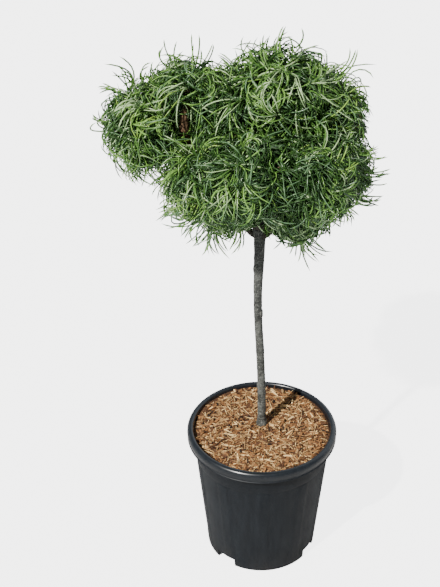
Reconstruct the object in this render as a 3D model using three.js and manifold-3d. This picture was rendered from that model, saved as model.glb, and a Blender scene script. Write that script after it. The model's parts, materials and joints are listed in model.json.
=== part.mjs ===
// Potted eastern white pine of the twisted-needle dwarf form, grafted on a bare stem and grown
// in a round nursery pot. Millimetres, +Z up. The origin is the centre of the pot's flat
// underside, -Y is the front and +X is to the right of someone who looks from the front.
import * as THREE from "three";
import { mergeVertices } from "three/addons/utils/BufferGeometryUtils.js";
import Module from "manifold-3d";

const wasm = await Module();
wasm.setup();

const DEGREE = Math.PI / 180;
const GOLDEN_TURN = Math.PI * (3 - Math.sqrt(5));
const GAP = 0.3; // between pieces that touch
const BELOW = -5; // a height under the pot, where cuts begin

// The pot: a fluted body, a smooth neck and a broad rim outside the neck
const POT = {
  height: 260,
  baseRadius: 99,
  taper: 0.096, // growth of the radius for each millimetre of height
  wall: 2.5,
  neckFoot: 206,
  neckFlare: 3,
  rimRadius: 132.5,
  rimHeight: 19.5,
  rimDraft: 1.2,
  rimEdge: 3,
  lipWidth: 11,
  lipEdge: 2.5,
  lipDrop: 5,
  segments: 60,
  turn: 0.7, // of the finished pot about its axis, degrees
};
const FLUTES = { ribs: 10, ribHalfWidth: 6.1, depth: 1.2, foot: 20, top: 200 }; // width in degrees
const NOTCH = { azimuths: [-41.5, 61, 138.5, 241], halfWidth: 11.5, height: 17, depth: 23, lining: 2 };
const DRAIN = { width: 13, height: 7, length: 12, foot: 6 };

// What fills the pot: compost, then bark mulch with loose chips on it
const COMPOST = { top: 236, corner: 3 };
const MULCH = { edge: 247.5, top: 250, rings: [104, 78, 52, 26], swell: [1.5, 1.1] };
const CHIP = { count: 20, length: [12, 24], width: [3.5, 6], thick: 2.4, within: [26, 106], tilt: 0.35 };

// The stem's axis and radius at each height, from the cut at ground level to its head, the
// graft union that the boughs leave
const STEM = [
  { z: COMPOST.top + GAP, x: 0, y: 15, radius: 9.6 },
  { z: 250, x: 0, y: 15, radius: 8.6 },
  { z: 266, x: 0, y: 15, radius: 6.9 },
  { z: 340, x: -1, y: 14, radius: 6.5 },
  { z: 415, x: -4, y: 12, radius: 6.5 },
  { z: 490, x: -8, y: 9, radius: 6.3 },
  { z: 545, x: -8.5, y: 7, radius: 6.4 },
  { z: 590, x: -7, y: 6, radius: 7.2 },
  { z: 632, x: -6, y: 5, radius: 8.8 },
  { z: 652, x: -6, y: 5, radius: 12 },
  { z: 676, x: -6, y: 5, radius: 12.6 },
  { z: 690, x: -6, y: 5, radius: 8 },
];
const STEM_ROWS = 22;
const STEM_SIDES = 10;

// Each mass of foliage: its heart, how far it reaches along x, y and z, and where its bough
// leaves the stem's head, or another bough, and what point it bends towards
const MASSES = [
  { name: "left_tip", heart: [-180, -12, 842], reach: [62, 86, 90], bough: [[-10, 4, 677], [-66, -8, 775]] },
  { name: "left_back", heart: [-122, 92, 828], reach: [84, 80, 80], bough: [[-10, 8, 661], [-62, 50, 745]] },
  { name: "left_front", heart: [-96, -82, 786], reach: [80, 76, 76], bough: [[-9, 2, 661], [-56, -40, 716]] },
  { name: "top_middle", heart: [-36, 8, 864], reach: [78, 82, 86], bough: [[-11, 6, 684], [-20, 8, 760]] },
  { name: "top_right", heart: [22, -6, 898], reach: [80, 82, 88], bough: [[-1, 4, 684], [14, 0, 775]] },
  { name: "right", heart: [92, 5, 850], reach: [74, 86, 86], bough: [[-2, 5, 677], [52, 8, 748]] },
  { name: "right_front", heart: [66, -90, 794], reach: [84, 80, 82], bough: [[-3, 1, 661], [34, -48, 716]] },
  { name: "right_back", heart: [82, 98, 815], reach: [84, 80, 82], bough: [[-3, 8, 661], [42, 54, 730]] },
  { name: "front", heart: [-20, -106, 800], reach: [84, 76, 84], bough: [[-7, 1, 661], [-18, -54, 724]] },
  { name: "back", heart: [-28, 112, 815], reach: [82, 76, 84], bough: [[-7, 9, 661], [-16, 60, 734]] },
  { name: "low_right", heart: [105, -4, 758], reach: [68, 80, 70], bough: [[-2, 4, 645], [52, 0, 690]] },
  { name: "low_front", heart: [46, -22, 706], reach: [62, 72, 66], bough: [[-3, 2, 645], [16, -8, 660]] },
  { name: "low_left", heart: [-66, -6, 716], reach: [78, 80, 72], bough: [[-10, 4, 645], [-34, 2, 658]] },
  { name: "low_back", heart: [12, 84, 722], reach: [84, 80, 78], bough: [[-5, 9, 645], [2, 40, 664]] },
  { name: "left_top", heart: [-115, -8, 900], reach: [44, 48, 46], bough: [[-82, -9, 786], [-112, -9, 806]] },
];
const OFFSHOOTS = { left_top: "left_tip" }; // boughs that grow from another bough
const HOLLOW = { heart: [-4, 5, 706], reach: [40, 40, 52] }; // bare room where the boughs spread
const BOUGH = { baseRadius: 4.6, tipRadius: 3, sides: 5, rows: 3, probes: 40 };
const CORE = { share: 0.78, uneven: 0.14, detail: 1, clear: 2 };
const TWIG = { tried: 14, radius: 2, from: 0.2, to: [0.6, 0.52, 0.44], overlap: 3 }; // shares of the reach
const SPRAY = {
  needles: 5,
  length: [39, 58],
  sway: 0.08,
  fan: 0.62, // half the angle that the needles spread over, radians
  valley: 14, // where two needles part
  rootHalf: 2.4,
  thick: 1.4,
  lean: [0.35, 1.15], // away from straight out
  bend: [0.3, 1.1],
  twist: [-0.9, 0.9],
  perLength: 54, // the length that the bend and the twist are spread over
};
const CLEAR = 1; // between foliage and limbs

const matt = (color, roughness) => new THREE.MeshStandardMaterial({ color, roughness, metalness: 0 });
const PLASTIC_FINISH = matt(0x2b3034, 0.45);
const COMPOST_FINISH = matt(0x3a2a1e, 1);
const MULCH_FINISH = matt(0xa8734a, 0.95);
const BARK_FINISH = matt(0x77776b, 0.85);
const YOUNG_BARK_FINISH = matt(0x5d4a38, 0.9);
const NEEDLE_FINISH = matt(0x4d7a3c, 0.6);

// The same share from 0 to 1 each time for the same pair of numbers
const chance = (i, k) => {
  const s = Math.sin(i * 12.9898 + k * 78.233) * 43758.5453;
  return s - Math.floor(s);
};
const mix = (a, b, share) => a + (b - a) * share;
const within = ([least, most], share) => mix(least, most, share);
const vector = (a) => new THREE.Vector3(a[0], a[1], a[2]);

// From a geometry to a solid, and from a solid to a named mesh
const solidOf = (geometry) => {
  geometry.deleteAttribute("normal");
  geometry.deleteAttribute("uv");
  const merged = mergeVertices(geometry, 1e-4);
  return new wasm.Manifold(
    new wasm.Mesh({
      numProp: 3,
      vertProperties: merged.getAttribute("position").array,
      triVerts: new Uint32Array(merged.index.array),
    }),
  );
};
const largestPiece = (solid) =>
  solid.decompose().reduce((best, piece) => (piece.volume() > best.volume() ? piece : best));
const meshOf = (name, solid, material) => {
  const { vertProperties, triVerts } = solid.getMesh();
  const geometry = new THREE.BufferGeometry();
  geometry.setAttribute("position", new THREE.BufferAttribute(vertProperties, 3));
  geometry.setIndex(new THREE.BufferAttribute(triVerts, 1));
  geometry.computeVertexNormals();
  const mesh = new THREE.Mesh(geometry, material);
  mesh.name = name;
  return mesh;
};

// A round limb: a cylinder whose rows are bent to a curve and given the radius at each share
const limb = (curve, rows, sides, radiusAt) => {
  const geometry = new THREE.CylinderGeometry(1, 1, 1, sides, rows);
  const frames = curve.computeFrenetFrames(rows);
  const position = geometry.getAttribute("position");
  const point = new THREE.Vector3();
  for (let i = 0; i < position.count; i++) {
    const row = Math.round((position.getY(i) + 0.5) * rows);
    const radius = radiusAt(row / rows);
    curve.getPointAt(row / rows, point);
    point.addScaledVector(frames.binormals[row], position.getX(i) * radius);
    point.addScaledVector(frames.normals[row], position.getZ(i) * radius);
    position.setXYZ(i, point.x, point.y, point.z);
  }
  return geometry;
};

// A turned solid from [radius, height] points, outside first, upwards
const turned = (points, segments) => {
  const profile = points.map(([r, z]) => new THREE.Vector2(r, z));
  return new THREE.LatheGeometry(profile, segments).rotateX(Math.PI / 2);
};

// A block between two radii and two heights, around one azimuth from the front
const sector = (azimuth, halfWidth, inner, outer, bottom, top) => {
  const middle = (azimuth - 90) * DEGREE;
  const start = middle - halfWidth * DEGREE;
  const end = middle + halfWidth * DEGREE;
  const shape = new THREE.Shape();
  shape.moveTo(inner * Math.cos(start), inner * Math.sin(start));
  shape.absarc(0, 0, outer, start, end, false);
  shape.absarc(0, 0, inner, end, start, true);
  const options = { depth: top - bottom, bevelEnabled: false, curveSegments: 3 };
  return solidOf(new THREE.ExtrudeGeometry(shape, options).translate(0, 0, bottom));
};

const bodyRadius = (z) => POT.baseRadius + POT.taper * z;
const insideRadius = (z) => bodyRadius(z) - POT.wall;
const notchInner = POT.baseRadius - NOTCH.depth;

// The drainage notches in the foot of the pot, grown all round by their lining or a clearance
const notches = (grow, bottom) =>
  NOTCH.azimuths
    .map((azimuth) => {
      const halfWidth = NOTCH.halfWidth + grow / notchInner / DEGREE;
      const outer = 1.1 * POT.baseRadius;
      return sector(azimuth, halfWidth, notchInner - grow, outer, bottom, NOTCH.height + grow);
    })
    .reduce((all, one) => all.add(one));

// Flutes pressed a little into the body between its upright ribs
const flute = (geometry) => {
  const pitch = 360 / FLUTES.ribs;
  const position = geometry.getAttribute("position");
  for (let i = 0; i < position.count; i++) {
    const [x, y, z] = [position.getX(i), position.getY(i), position.getZ(i)];
    const radius = Math.hypot(x, y);
    const outside = radius > insideRadius(z) + POT.wall / 2;
    if (!outside || z < FLUTES.foot || z > FLUTES.top) continue;
    const azimuth = Math.atan2(x, -y) / DEGREE;
    const fromRib = Math.abs(azimuth - Math.round(azimuth / pitch) * pitch);
    const scale = fromRib > FLUTES.ribHalfWidth ? 1 - FLUTES.depth / radius : 1;
    position.setXY(i, x * scale, y * scale);
  }
  return geometry;
};

const makePot = () => {
  const { height, rimRadius, rimHeight, rimDraft, rimEdge, lipEdge, lipDrop, wall } = POT;
  const rimFoot = height - rimHeight;
  const neckFoot = bodyRadius(POT.neckFoot);
  const neckTop = neckFoot + POT.neckFlare;
  const lipInside = rimRadius - POT.lipWidth;
  const profile = [
    [0, 0],
    [POT.baseRadius, 0],
    [bodyRadius(FLUTES.foot), FLUTES.foot],
    [bodyRadius(FLUTES.top), FLUTES.top],
    [neckFoot - FLUTES.depth, POT.neckFoot],
    [neckFoot, POT.neckFoot + 1],
    [neckTop, rimFoot],
    [rimRadius - rimDraft, rimFoot],
    [rimRadius, height - 2 * rimEdge],
    [rimRadius - rimEdge, height],
    [lipInside + lipEdge, height],
    [lipInside, height - lipDrop],
    [insideRadius(rimFoot), rimFoot],
    [insideRadius(wall), wall],
    [0, wall],
  ];
  const shell = solidOf(flute(turned(profile, POT.segments)));
  const inner = [
    [0, BELOW],
    [insideRadius(0), BELOW],
    [insideRadius(POT.neckFoot), POT.neckFoot],
    [0, POT.neckFoot],
  ];
  const lining = notches(NOTCH.lining, wall / 2).intersect(solidOf(turned(inner, POT.segments)));
  let pot = shell.add(lining).subtract(notches(0, BELOW));
  for (const azimuth of NOTCH.azimuths) {
    const hole = new THREE.BoxGeometry(DRAIN.width, DRAIN.length, DRAIN.height);
    hole.translate(0, -notchInner, DRAIN.foot + DRAIN.height / 2).rotateZ(azimuth * DEGREE);
    pot = pot.subtract(solidOf(hole));
  }
  return pot.rotate([0, 0, POT.turn]);
};

const fillRadius = (z) => insideRadius(z) - GAP;
const makeCompost = () => {
  const floor = POT.wall + GAP;
  const profile = [
    [0, floor],
    [fillRadius(floor) - COMPOST.corner, floor],
    [fillRadius(floor + COMPOST.corner), floor + COMPOST.corner],
    [fillRadius(COMPOST.top), COMPOST.top],
    [0, COMPOST.top],
  ];
  const filling = solidOf(turned(profile, POT.segments));
  return filling.subtract(notches(NOTCH.lining + GAP, BELOW)).rotate([0, 0, POT.turn]);
};

const stemAxis = new THREE.CatmullRomCurve3(STEM.map((s) => new THREE.Vector3(s.x, s.y, s.z)));
const stemRadius = (share) => {
  const { z } = stemAxis.getPointAt(share);
  const above = Math.max(1, STEM.findIndex((s) => s.z >= z));
  const [low, high] = [STEM[above - 1], STEM[above]];
  const between = (z - low.z) / (high.z - low.z);
  return mix(low.radius, high.radius, Math.min(1, Math.max(0, between)));
};
const makeStem = (grow) =>
  solidOf(limb(stemAxis, STEM_ROWS, STEM_SIDES, (share) => stemRadius(share) + grow));

// The bark mulch: an uneven layer with chips sunk half into it, open where the stem rises
const mulchSwell = (x, y) =>
  MULCH.swell[0] * Math.sin(x / 11 + 1) * Math.cos(y / 9) + MULCH.swell[1] * Math.sin((x + 2 * y) / 17);
const makeMulch = () => {
  const foot = COMPOST.top + GAP;
  const profile = [
    [0, foot],
    [fillRadius(foot), foot],
    [fillRadius(MULCH.edge), MULCH.edge],
    ...MULCH.rings.map((r) => [r, MULCH.top - 1]),
    [0, MULCH.top],
  ];
  const layer = turned(profile, POT.segments / 2);
  const position = layer.getAttribute("position");
  for (let i = 0; i < position.count; i++) {
    const z = position.getZ(i);
    if (z > foot + GAP) position.setZ(i, z + mulchSwell(position.getX(i), position.getY(i)));
  }
  let mulch = solidOf(layer);
  for (let i = 0; i < CHIP.count; i++) {
    const radius = within(CHIP.within, Math.sqrt(chance(i, 1)));
    const turn = i * GOLDEN_TURN;
    const [x, y] = [radius * Math.cos(turn), radius * Math.sin(turn)];
    const length = within(CHIP.length, chance(i, 2));
    const chip = new THREE.BoxGeometry(length, within(CHIP.width, chance(i, 3)), CHIP.thick);
    chip.rotateX((2 * chance(i, 4) - 1) * CHIP.tilt).rotateY((2 * chance(i, 5) - 1) * CHIP.tilt);
    chip.rotateZ(chance(i, 6) * Math.PI).translate(x, y, MULCH.top + mulchSwell(x, y));
    mulch = mulch.add(solidOf(chip));
  }
  return largestPiece(mulch.subtract(makeStem(GAP)));
};

// How far a mass reaches from its heart along a direction
const reachAlong = (mass, along) =>
  1 / Math.hypot(along.x / mass.reach[0], along.y / mass.reach[1], along.z / mass.reach[2]);

// Each mass keeps to its own side of the planes between its heart and the others
const cellOf = (mass) => {
  const heart = vector(mass.heart);
  const others = [...MASSES, HOLLOW].filter((other) => other !== mass);
  return others.map((other) => {
    const normal = vector(other.heart).sub(heart);
    const apart = normal.length();
    normal.normalize();
    const mine = reachAlong(mass, normal);
    const theirs = reachAlong(other, normal);
    return { normal, offset: (apart * mine) / (mine + theirs) - GAP };
  });
};
const inCell = (cell, heart, point) =>
  cell.every(({ normal, offset }) => point.clone().sub(heart).dot(normal) < offset);
const upToCell = (cell, along, radius) =>
  cell.reduce((least, { normal, offset }) => {
    const facing = along.dot(normal);
    return facing > 0.01 ? Math.min(least, offset / facing) : least;
  }, radius);

// Boughs: one tapering limb each, from the stem's head or another bough to where its mass begins
const boughs = new Map();
for (const mass of MASSES) {
  const [from, by] = mass.bough.map(vector);
  const heart = vector(mass.heart);
  const inward = by.clone().sub(heart).normalize();
  const entry = upToCell(cellOf(mass), inward, reachAlong(mass, inward));
  const tip = heart.clone().addScaledVector(inward, entry);
  boughs.set(mass.name, { curve: new THREE.QuadraticBezierCurve3(from, by, tip), tip, heart, inward });
}
const boughRadius = (share) => mix(BOUGH.baseRadius, BOUGH.tipRadius, share);
const boughSolid = (name, grow) =>
  solidOf(limb(boughs.get(name).curve, BOUGH.rows, BOUGH.sides, (share) => boughRadius(share) + grow));
const makeBough = (mass, index) => {
  const parent = OFFSHOOTS[mass.name];
  let bough = boughSolid(mass.name, 0);
  bough = bough.subtract(parent ? boughSolid(parent, GAP) : makeStem(GAP));
  for (const earlier of MASSES.slice(0, index))
    if (earlier.name !== parent) bough = bough.subtract(boughSolid(earlier.name, GAP));
  return largestPiece(bough);
};

// Points along every limb with their radius, so that foliage can be kept off them
const limbs = [{ curve: stemAxis, radiusAt: stemRadius }];
for (const { curve } of boughs.values()) limbs.push({ curve, radiusAt: boughRadius });
const limbPoints = limbs.flatMap(({ curve, radiusAt }) =>
  Array.from({ length: BOUGH.probes + 1 }, (_, i) => {
    const share = i / BOUGH.probes;
    return { at: curve.getPointAt(share), radius: radiusAt(share) };
  }),
);
const touchesLimb = (point) => limbPoints.some(({ at, radius }) => at.distanceTo(point) < radius + CLEAR);

// The dense inside of a mass: an uneven ball that stays within its cell
const coreOf = (mass, cell, seed) => {
  const geometry = new THREE.IcosahedronGeometry(1, CORE.detail);
  geometry.deleteAttribute("normal");
  geometry.deleteAttribute("uv");
  const ball = mergeVertices(geometry, 1e-4);
  const position = ball.getAttribute("position");
  const along = new THREE.Vector3();
  for (let i = 0; i < position.count; i++) {
    along.fromBufferAttribute(position, i).normalize();
    const uneven = 1 + CORE.uneven * (2 * chance(seed, i) - 1);
    const radius = upToCell(cell, along, reachAlong(mass, along) * CORE.share * uneven);
    position.setXYZ(i, ...vector(mass.heart).addScaledVector(along, radius).toArray());
  }
  return solidOf(ball);
};

// The flat outline of a spray: slim needles that fan out from a narrow root, along +y
const sprayOutline = (seed) => {
  const { needles, fan, valley, sway, rootHalf } = SPRAY;
  const angleAt = (n) => Math.PI / 2 + fan * ((2 * n) / (needles - 1) - 1);
  const shape = new THREE.Shape();
  shape.moveTo(rootHalf, 0);
  for (let n = 0; n < needles; n++) {
    const length = within(SPRAY.length, chance(seed, n));
    const angle = angleAt(n) + sway * (2 * chance(seed, n + needles) - 1);
    const between = angleAt(n - 0.5);
    if (n > 0) shape.lineTo(valley * Math.cos(between), valley * Math.sin(between));
    shape.lineTo(length * Math.cos(angle), length * Math.sin(angle));
  }
  shape.lineTo(-rootHalf, 0);
  return shape;
};

// A spray: that outline as a thin blade, bent and twisted, and leaned away from straight out
const sprayOf = (root, along, across, seed) => {
  const { needles, thick, lean, bend, twist, perLength } = SPRAY;
  const draw = (n) => chance(seed, 2 * needles + n);
  const blade = new THREE.ExtrudeGeometry(sprayOutline(seed), { depth: thick, bevelEnabled: false });
  const side = across.clone().applyAxisAngle(along, draw(0) * 2 * Math.PI);
  const out = along.clone().applyAxisAngle(side, within(lean, draw(1)));
  const up = side.clone().cross(out);
  const curve = within(bend, draw(2)) / perLength;
  const turn = within(twist, draw(3)) / perLength;
  const position = blade.getAttribute("position");
  for (let i = 0; i < position.count; i++) {
    const [u, v, w] = [position.getX(i), position.getY(i), position.getZ(i) - thick / 2];
    const wide = u * Math.cos(turn * v) - w * Math.sin(turn * v);
    const high = u * Math.sin(turn * v) + w * Math.cos(turn * v);
    const far = (1 / curve - high) * Math.sin(curve * v);
    const lift = 1 / curve - (1 / curve - high) * Math.cos(curve * v);
    const at = root.clone().addScaledVector(side, wide);
    at.addScaledVector(out, far).addScaledVector(up, lift);
    position.setXYZ(i, at.x, at.y, at.z);
  }
  return blade;
};

const cornersOf = (geometry) => {
  const position = geometry.getAttribute("position");
  return Array.from({ length: position.count }, (_, i) =>
    new THREE.Vector3().fromBufferAttribute(position, i),
  );
};

// A mass: its stem, its core, and twigs that part evenly from the heart and each end in a spray
const makeMass = (mass, index) => {
  const { tip, heart, inward } = boughs.get(mass.name);
  const cell = cellOf(mass);
  const fits = (geometry) => cornersOf(geometry).every((v) => inCell(cell, heart, v) && !touchesLimb(v));
  const start = tip.clone().addScaledVector(inward, -GAP);
  const stem = limb(new THREE.LineCurve3(start, heart), 1, BOUGH.sides, () => BOUGH.tipRadius);
  let core = coreOf(mass, cell, index).subtract(makeStem(CORE.clear));
  for (const { name } of MASSES) core = core.subtract(boughSolid(name, CORE.clear));
  const pieces = [solidOf(stem), largestPiece(core)];
  for (let k = 0; k < TWIG.tried; k++) {
    const level = 1 - (2 * (k + 0.5)) / TWIG.tried;
    const flat = Math.sqrt(1 - level * level);
    const turn = k * GOLDEN_TURN + index;
    const along = new THREE.Vector3(flat * Math.cos(turn), flat * Math.sin(turn), level);
    const across = new THREE.Vector3(0, 0, 1).cross(along).normalize();
    const reach = reachAlong(mass, along);
    const root = heart.clone().addScaledVector(along, reach * TWIG.from);
    for (const [attempt, share] of TWIG.to.entries()) {
      const end = heart.clone().addScaledVector(along, reach * share);
      const spray = sprayOf(end, along, across, 100 * index + k + attempt / 3);
      const past = end.clone().addScaledVector(along, TWIG.overlap);
      const twig = limb(new THREE.LineCurve3(root, past), 1, 3, () => TWIG.radius);
      if (!fits(twig) || !fits(spray)) continue;
      pieces.push(solidOf(twig), solidOf(spray));
      break;
    }
  }
  let grown = wasm.Manifold.union(pieces).subtract(makeStem(GAP));
  for (const { name } of MASSES)
    if (name !== mass.name) grown = grown.subtract(boughSolid(name, GAP));
  return largestPiece(grown);
};

// The plant in its pot
const pine = new THREE.Group();
pine.add(meshOf("pot", makePot(), PLASTIC_FINISH));
pine.add(meshOf("compost", makeCompost(), COMPOST_FINISH));
pine.add(meshOf("bark_mulch", makeMulch(), MULCH_FINISH));
pine.add(meshOf("trunk", makeStem(0), BARK_FINISH));
MASSES.forEach((mass, index) => {
  pine.add(meshOf("bough_" + mass.name, makeBough(mass, index), YOUNG_BARK_FINISH));
  pine.add(meshOf("foliage_" + mass.name, makeMass(mass, index), NEEDLE_FINISH));
});

export default pine;
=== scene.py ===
import json
import math
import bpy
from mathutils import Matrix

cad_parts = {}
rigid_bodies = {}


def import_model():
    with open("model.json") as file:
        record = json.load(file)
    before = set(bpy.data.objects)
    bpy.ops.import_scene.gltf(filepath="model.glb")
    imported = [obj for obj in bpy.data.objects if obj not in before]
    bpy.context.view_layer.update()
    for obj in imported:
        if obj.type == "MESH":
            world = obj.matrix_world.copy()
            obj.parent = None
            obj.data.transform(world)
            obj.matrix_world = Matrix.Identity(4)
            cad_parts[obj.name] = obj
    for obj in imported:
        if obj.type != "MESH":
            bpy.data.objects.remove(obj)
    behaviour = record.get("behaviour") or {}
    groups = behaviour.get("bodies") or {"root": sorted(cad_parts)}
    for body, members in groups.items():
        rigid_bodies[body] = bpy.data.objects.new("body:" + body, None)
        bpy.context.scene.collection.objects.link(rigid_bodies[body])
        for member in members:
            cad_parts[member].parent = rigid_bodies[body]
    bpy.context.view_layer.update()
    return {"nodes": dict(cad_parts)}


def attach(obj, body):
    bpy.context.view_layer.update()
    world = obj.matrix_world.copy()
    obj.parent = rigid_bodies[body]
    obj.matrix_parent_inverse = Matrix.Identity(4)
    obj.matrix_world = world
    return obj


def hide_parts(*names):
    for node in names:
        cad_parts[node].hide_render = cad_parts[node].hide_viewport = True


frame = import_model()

from types import SimpleNamespace as Sizes

import bmesh
import bpy
import numpy as np
from mathutils import Vector

# Potted eastern white pine of the twisted-needle dwarf form, grafted on a bare stem and grown in
# a round nursery pot. Sizes are in millimetres here and become metres as a piece is made. The
# origin is the centre of the pot's flat underside, -Y is the front and +X is to the right.
MM = 0.001
DEGREE = math.pi / 180
FULL_TURN = 2 * math.pi
GOLDEN_TURN = math.pi * (3 - math.sqrt(5))

# The pot, as in the frame
POT = Sizes(height=260, base=99, taper=0.096, wall=2.5, neck_foot=206, neck_flare=3, rim=132.5,
            rim_height=19.5, rim_draft=1.2, lip_width=11, lip_drop=5, turn=0.7, steps=200)
FLUTES = Sizes(ribs=10, half=6.1, depth=1.2, foot=20, top=200)
NOTCH = Sizes(azimuths=(-41.5, 61, 138.5, 241), half=11.5, height=17, depth=23, lining=2,
              lining_end=95.2, end=114)
DRAIN = Sizes(half=6.5, reach=6, foot=6, top=13)
MULCH = Sizes(edge=247.5, top=249.5, under=236.6, rise=5.5)

# The stem's axis and radius from ground level to its head: height, x, y, radius
STEM = [
    (236.5, 0, 15, 9.6), (250, 0, 15, 8.6), (266, 0, 15, 6.9), (334, -0.9, 14.1, 6.5),
    (340, -1, 14, 7.0), (346, -1.2, 13.9, 6.5), (409, -3.8, 12.1, 6.4), (415, -4, 12, 7.1),
    (421, -4.3, 11.8, 6.5), (490, -8, 9, 6.3), (545, -8.5, 7, 6.7), (590, -7, 6, 7.7),
    (632, -6, 5, 8.5), (652, -6, 5, 9.2), (664, -6, 5, 9.7), (676, -6, 5, 9.8), (690, -6, 5, 7.5),
]

# Old scars and knots on the stem: place, size, how far the bark is pushed
SCARS = (((-1.5, 8, 494), 7, (1.5, -0.5, 0)), ((-10, 3, 583), 8, (-1.1, -1.2, 0)),
         ((-6, 12, 338), 6, (-1.2, 0.6, 0)), ((3, 2, 416), 6, (1.0, -0.9, 0)),
         ((-14, -4, 655), 9, (-2.4, -2.4, 0)), ((4, -6, 668), 9, (2.4, -2.6, 1)))
SKIN_PER_RADIUS = 1.19  # a skin shrinks by this much as it is smoothed

# Each mass of foliage: heart, reach, where its bough starts, what point the bough bends towards
MASSES = {
    "left_tip": ((-178, -12, 843), (63, 88, 80), (-10, 4, 677), (-66, -8, 775)),
    "left_back": ((-122, 92, 828), (84, 80, 80), (-10, 8, 661), (-62, 50, 745)),
    "left_front": ((-92, -80, 795), (71, 76, 64), (-9, 2, 661), (-56, -40, 716)),
    "top_middle": ((-36, 10, 864), (78, 92, 84), (-11, 6, 684), (-20, 8, 760)),
    "top_right": ((22, -4, 897), (80, 92, 85), (-1, 4, 684), (14, 0, 775)),
    "right": ((89, 5, 848), (63, 86, 86), (-2, 5, 677), (52, 8, 748)),
    "right_front": ((66, -90, 800), (82, 80, 74), (-3, 1, 661), (34, -48, 716)),
    "right_back": ((82, 98, 815), (84, 80, 82), (-3, 8, 661), (42, 54, 730)),
    "front": ((-20, -104, 807), (84, 76, 74), (-7, 1, 661), (-18, -54, 724)),
    "back": ((-28, 112, 815), (82, 76, 84), (-7, 9, 661), (-16, 60, 734)),
    "low_right": ((101, -2, 763), (67, 80, 59), (-2, 4, 645), (52, 0, 690)),
    "low_front": ((50, -44, 727), (58, 64, 48), (-3, 2, 645), (16, -8, 660)),
    "low_left": ((-58, -4, 728), (62, 76, 57), (-10, 4, 645), (-34, 2, 658)),
    "low_back": ((12, 84, 722), (84, 80, 78), (-5, 9, 645), (2, 40, 664)),
    "left_top": ((-112, -8, 900), (44, 48, 46), (-82, -9, 786), (-140, -10, 800)),
}
MASSES = {name: np.array(mass, float) for name, mass in MASSES.items()}
REGIONS = {
    "left": ("left_tip", "left_top", "left_front"),
    "back": ("back", "right_back"),
    "top": ("top_middle", "top_right"),
    "right": ("right", "low_right"),
    "front": ("front", "right_front"),
    "low": ("low_front", "low_left"),
    "low_back": ("low_back", "left_back"),
}


def chance(i, k):
    """The same share from 0 to 1 each time for the same pair of numbers, or for arrays of them."""
    s = np.sin(np.asarray(i) * 12.9898 + np.asarray(k) * 78.233) * 43758.5453
    return s - np.floor(s)


def draw(i, k):
    """One chance as a plain number."""
    return float(chance(i, k))


def mix(a, b, share):
    return a + (b - a) * share


def by_share(table, drawn):
    """The rows that shares from 0 to 1 fall on, where each row ends with its own share."""
    edges = np.cumsum([row[-1] for row in table])
    return np.searchsorted(edges / edges[-1], drawn).clip(0, len(table) - 1)


# ---- making pieces by hand

def alone(piece):
    """Selects nothing but this piece."""
    bpy.ops.object.select_all(action="DESELECT")
    piece.select_set(True)
    bpy.context.view_layer.objects.active = piece


def settle(name, piece):
    """Names a new piece and puts its place into its mesh."""
    alone(piece)
    bpy.ops.object.transform_apply(location=True, rotation=True, scale=True)
    piece.name = piece.data.name = name
    return piece


def editing(piece):
    alone(piece)
    bpy.ops.object.mode_set(mode="EDIT")


def rested():
    bpy.ops.object.mode_set(mode="OBJECT")


def fresh(kind, **how):
    """A new plain piece."""
    getattr(bpy.ops.mesh, "primitive_%s_add" % kind)(**how)
    return bpy.context.object


def pick_all():
    bpy.ops.mesh.select_all(action="SELECT")


def pick(piece, test):
    """In edit mode, selects the vertices whose place, in millimetres, passes the test."""
    bpy.ops.mesh.select_mode(type="VERT")
    bpy.ops.mesh.select_all(action="DESELECT")
    shape = bmesh.from_edit_mesh(piece.data)
    for vertex in shape.verts:
        vertex.select = bool(test(*(vertex.co / MM)))
    shape.select_flush(True)
    bmesh.update_edit_mesh(piece.data)


def resize(x, y, z=1):
    """Stretches what is selected from the origin."""
    bpy.ops.transform.resize(value=(x, y, z), center_override=(0, 0, 0))


def shaped_with(piece, kind, **settings):
    """Adds one modifier and applies it."""
    alone(piece)
    modifier = piece.modifiers.new(kind, kind)
    for key, value in settings.items():
        setattr(modifier, key, value)
    bpy.ops.object.modifier_apply(modifier=modifier.name)


def chain(name, points):
    """A line of vertices, extruded from point to point."""
    points = [Vector(p) * MM for p in points]
    piece = settle(name, fresh("plane", size=MM, location=points[0]))
    editing(piece)
    pick_all()
    bpy.ops.mesh.merge(type="CENTER")
    for a, b in zip(points, points[1:]):
        bpy.ops.mesh.extrude_vertices_move(TRANSFORM_OT_translate={"value": b - a})
    rested()
    return piece


def spun(name, profile, steps):
    """A piece spun about the upright axis from [radius, height] points."""
    piece = chain(name, [(r, 0, z) for r, z in profile])
    editing(piece)
    pick_all()
    bpy.ops.mesh.spin(steps=steps, angle=FULL_TURN, center=(0, 0, 0), axis=(0, 0, 1))
    pick_all()
    bpy.ops.mesh.remove_doubles(threshold=0.02 * MM)
    bpy.ops.mesh.normals_make_consistent(inside=False)
    rested()
    return piece


def block(name, near, far, half_near, half_far, bottom, top, azimuth):
    """A wedge of a block that points outwards at an azimuth from the front."""
    piece = fresh("cube", size=1)
    piece.scale = (2 * half_far * MM, (far - near) * MM, (top - bottom) * MM)
    piece.location = (0, -(far + near) / 2 * MM, (top + bottom) / 2 * MM)
    settle(name, piece)
    editing(piece)
    pick(piece, lambda x, y, z: y > -(far + near) / 2)
    resize(half_near / half_far, 1)
    rested()
    piece.rotation_euler[2] = azimuth * DEGREE
    return settle(name, piece)


def cut(piece, tool, operation="DIFFERENCE"):
    shaped_with(piece, "BOOLEAN", operation=operation, object=tool, solver="EXACT")
    bpy.data.objects.remove(tool)


def relief(piece, size, strength, direction="NORMAL"):
    """Raises and sinks a surface by soft lumps of that size."""
    texture = bpy.data.textures.new(piece.name + "_relief", "CLOUDS")
    texture.noise_scale = size * MM
    shaped_with(piece, "DISPLACE", texture=texture, texture_coords="LOCAL", strength=strength * MM,
                direction=direction)


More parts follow.
